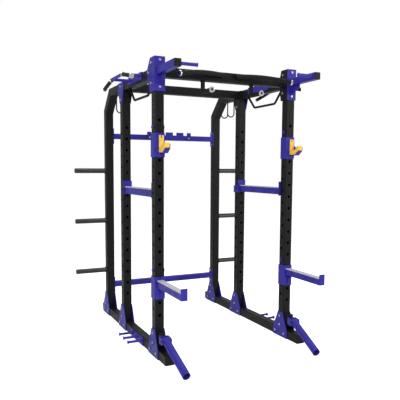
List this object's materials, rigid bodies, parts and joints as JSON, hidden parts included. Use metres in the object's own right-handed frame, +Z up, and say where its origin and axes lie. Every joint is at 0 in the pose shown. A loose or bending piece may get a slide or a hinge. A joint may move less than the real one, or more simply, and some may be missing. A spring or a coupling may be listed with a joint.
{
  "type": "power cage",
  "caption": "Free-standing square-tube power cage with drilled uprights, flip-off bar hooks and spotter arms, safety rails, pull-up grips, storage pegs and swivelling bar sleeves.",
  "frame": {"origin": "on the floor, at the middle of the whole plan", "axes": "+X to the right of a lifter's front view, +Y towards the storage posts, +Z up"},
  "size_m": [1.884, 2.0134, 2.3],
  "materials": {
    "black_steel": "fine-textured black powder coat",
    "blue_steel": "satin royal blue powder coat",
    "black_plastic": "moulded black plastic",
    "black_rubber": "matte ribbed rubber",
    "yellow_liner": "milled yellow polyethylene",
    "grey_liner": "milled light grey polyethylene",
    "chrome": "polished chrome",
    "dark_chrome": "dark gunmetal chrome",
    "bolt_steel": "zinc-plated"
  },
  "bodies": {
    "root": {"left_skid": "black_steel", "right_skid": "black_steel", "plastic_end_caps": "black_plastic", "front_left_upright": "black_steel", "front_right_upright": "black_steel", "mid_left_upright": "black_steel", "mid_right_upright": "black_steel", "left_rear_post": "black_steel", "right_rear_post": "black_steel", "rail_elbows": "black_steel", "left_top_rail": "black_steel", "right_top_rail": "black_steel", "front_crossbar": "black_steel", "mid_crossbar": "black_steel", "crossbar_flanges": "black_steel", "upper_rear_crossbar": "blue_steel", "lower_rear_crossbar": "blue_steel", "rear_bar_plates": "blue_steel", "hanger_comb": "blue_steel", "left_base_gussets": "blue_steel", "right_base_gussets": "blue_steel", "mid_top_gussets": "blue_steel", "left_front_arm": "blue_steel", "right_front_arm": "blue_steel", "left_wide_grip": "black_rubber", "right_wide_grip": "black_rubber", "left_neutral_grip": "black_rubber", "right_neutral_grip": "black_rubber", "grip_end_caps": "chrome", "left_wing_bar": "blue_steel", "right_wing_bar": "blue_steel", "wing_grips": "black_rubber", "wing_collars": "chrome", "left_low_bar": "black_steel", "right_low_bar": "black_steel", "rope_hooks": "black_steel", "left_plate_pegs": "dark_chrome", "right_plate_pegs": "dark_chrome", "band_peg_plates": "blue_steel", "left_safety_rail": "blue_steel", "right_safety_rail": "blue_steel", "safety_rail_liners": "grey_liner", "sleeve_brackets": "black_steel", "base_bolts": "bolt_steel", "top_bolts": "bolt_steel", "bar_bolts": "bolt_steel"},
    "left_hook": {"left_bar_hook": "blue_steel", "left_hook_liner": "yellow_liner"},
    "right_hook": {"right_bar_hook": "blue_steel", "right_hook_liner": "yellow_liner"},
    "left_spotter": {"left_spotter_arm": "blue_steel", "left_spotter_liner": "grey_liner"},
    "right_spotter": {"right_spotter_arm": "blue_steel", "right_spotter_liner": "grey_liner"},
    "left_pin": {"left_pull_pin": "blue_steel"},
    "right_pin": {"right_pull_pin": "blue_steel"},
    "left_swivel": {"left_sleeve_swivel": "blue_steel"},
    "right_swivel": {"right_sleeve_swivel": "blue_steel"},
    "left_sleeve": {"left_bar_sleeve": "blue_steel"},
    "right_sleeve": {"right_bar_sleeve": "blue_steel"}
  },
  "joints": [
    {"name": "left_hook_flip", "type": "hinge", "parent": "root", "child": "left_hook", "pos_m": [-0.5975, -0.45835, 1.78], "axis": [-1, 0, 0], "range_deg": [0, 90]},
    {"name": "left_spotter_flip", "type": "hinge", "parent": "root", "child": "left_spotter", "pos_m": [-0.5975, -0.45835, 0.68], "axis": [-1, 0, 0], "range_deg": [0, 90]},
    {"name": "left_pin_pull", "type": "slide", "parent": "root", "child": "left_pin", "axis": [1, 0, 0], "range_m": [0, 0.016], "stiffness_N_per_m": 600, "springref_m": -0.015},
    {"name": "left_sleeve_swing", "type": "hinge", "parent": "root", "child": "left_swivel", "pos_m": [-0.5975, -0.55234, 0.165], "axis": [0, 0, 1], "range_deg": [-60, 60]},
    {"name": "left_sleeve_tilt", "type": "hinge", "parent": "left_swivel", "child": "left_sleeve", "pos_m": [-0.5975, -0.62335, 0.165], "axis": [-1, 0, 0], "range_deg": [0, 90]},
    {"name": "right_hook_flip", "type": "hinge", "parent": "root", "child": "right_hook", "pos_m": [0.5975, -0.45835, 1.78], "axis": [-1, 0, 0], "range_deg": [0, 90]},
    {"name": "right_spotter_flip", "type": "hinge", "parent": "root", "child": "right_spotter", "pos_m": [0.5975, -0.45835, 0.68], "axis": [-1, 0, 0], "range_deg": [0, 90]},
    {"name": "right_pin_pull", "type": "slide", "parent": "root", "child": "right_pin", "axis": [-1, 0, 0], "range_m": [0, 0.016], "stiffness_N_per_m": 600, "springref_m": -0.015},
    {"name": "right_sleeve_swing", "type": "hinge", "parent": "root", "child": "right_swivel", "pos_m": [0.5975, -0.55234, 0.165], "axis": [0, 0, 1], "range_deg": [-51, 69]},
    {"name": "right_sleeve_tilt", "type": "hinge", "parent": "right_swivel", "child": "right_sleeve", "pos_m": [0.58639, -0.62247, 0.165], "axis": [-0.9877, 0.1564, 0], "range_deg": [0, 90]}
  ]
}
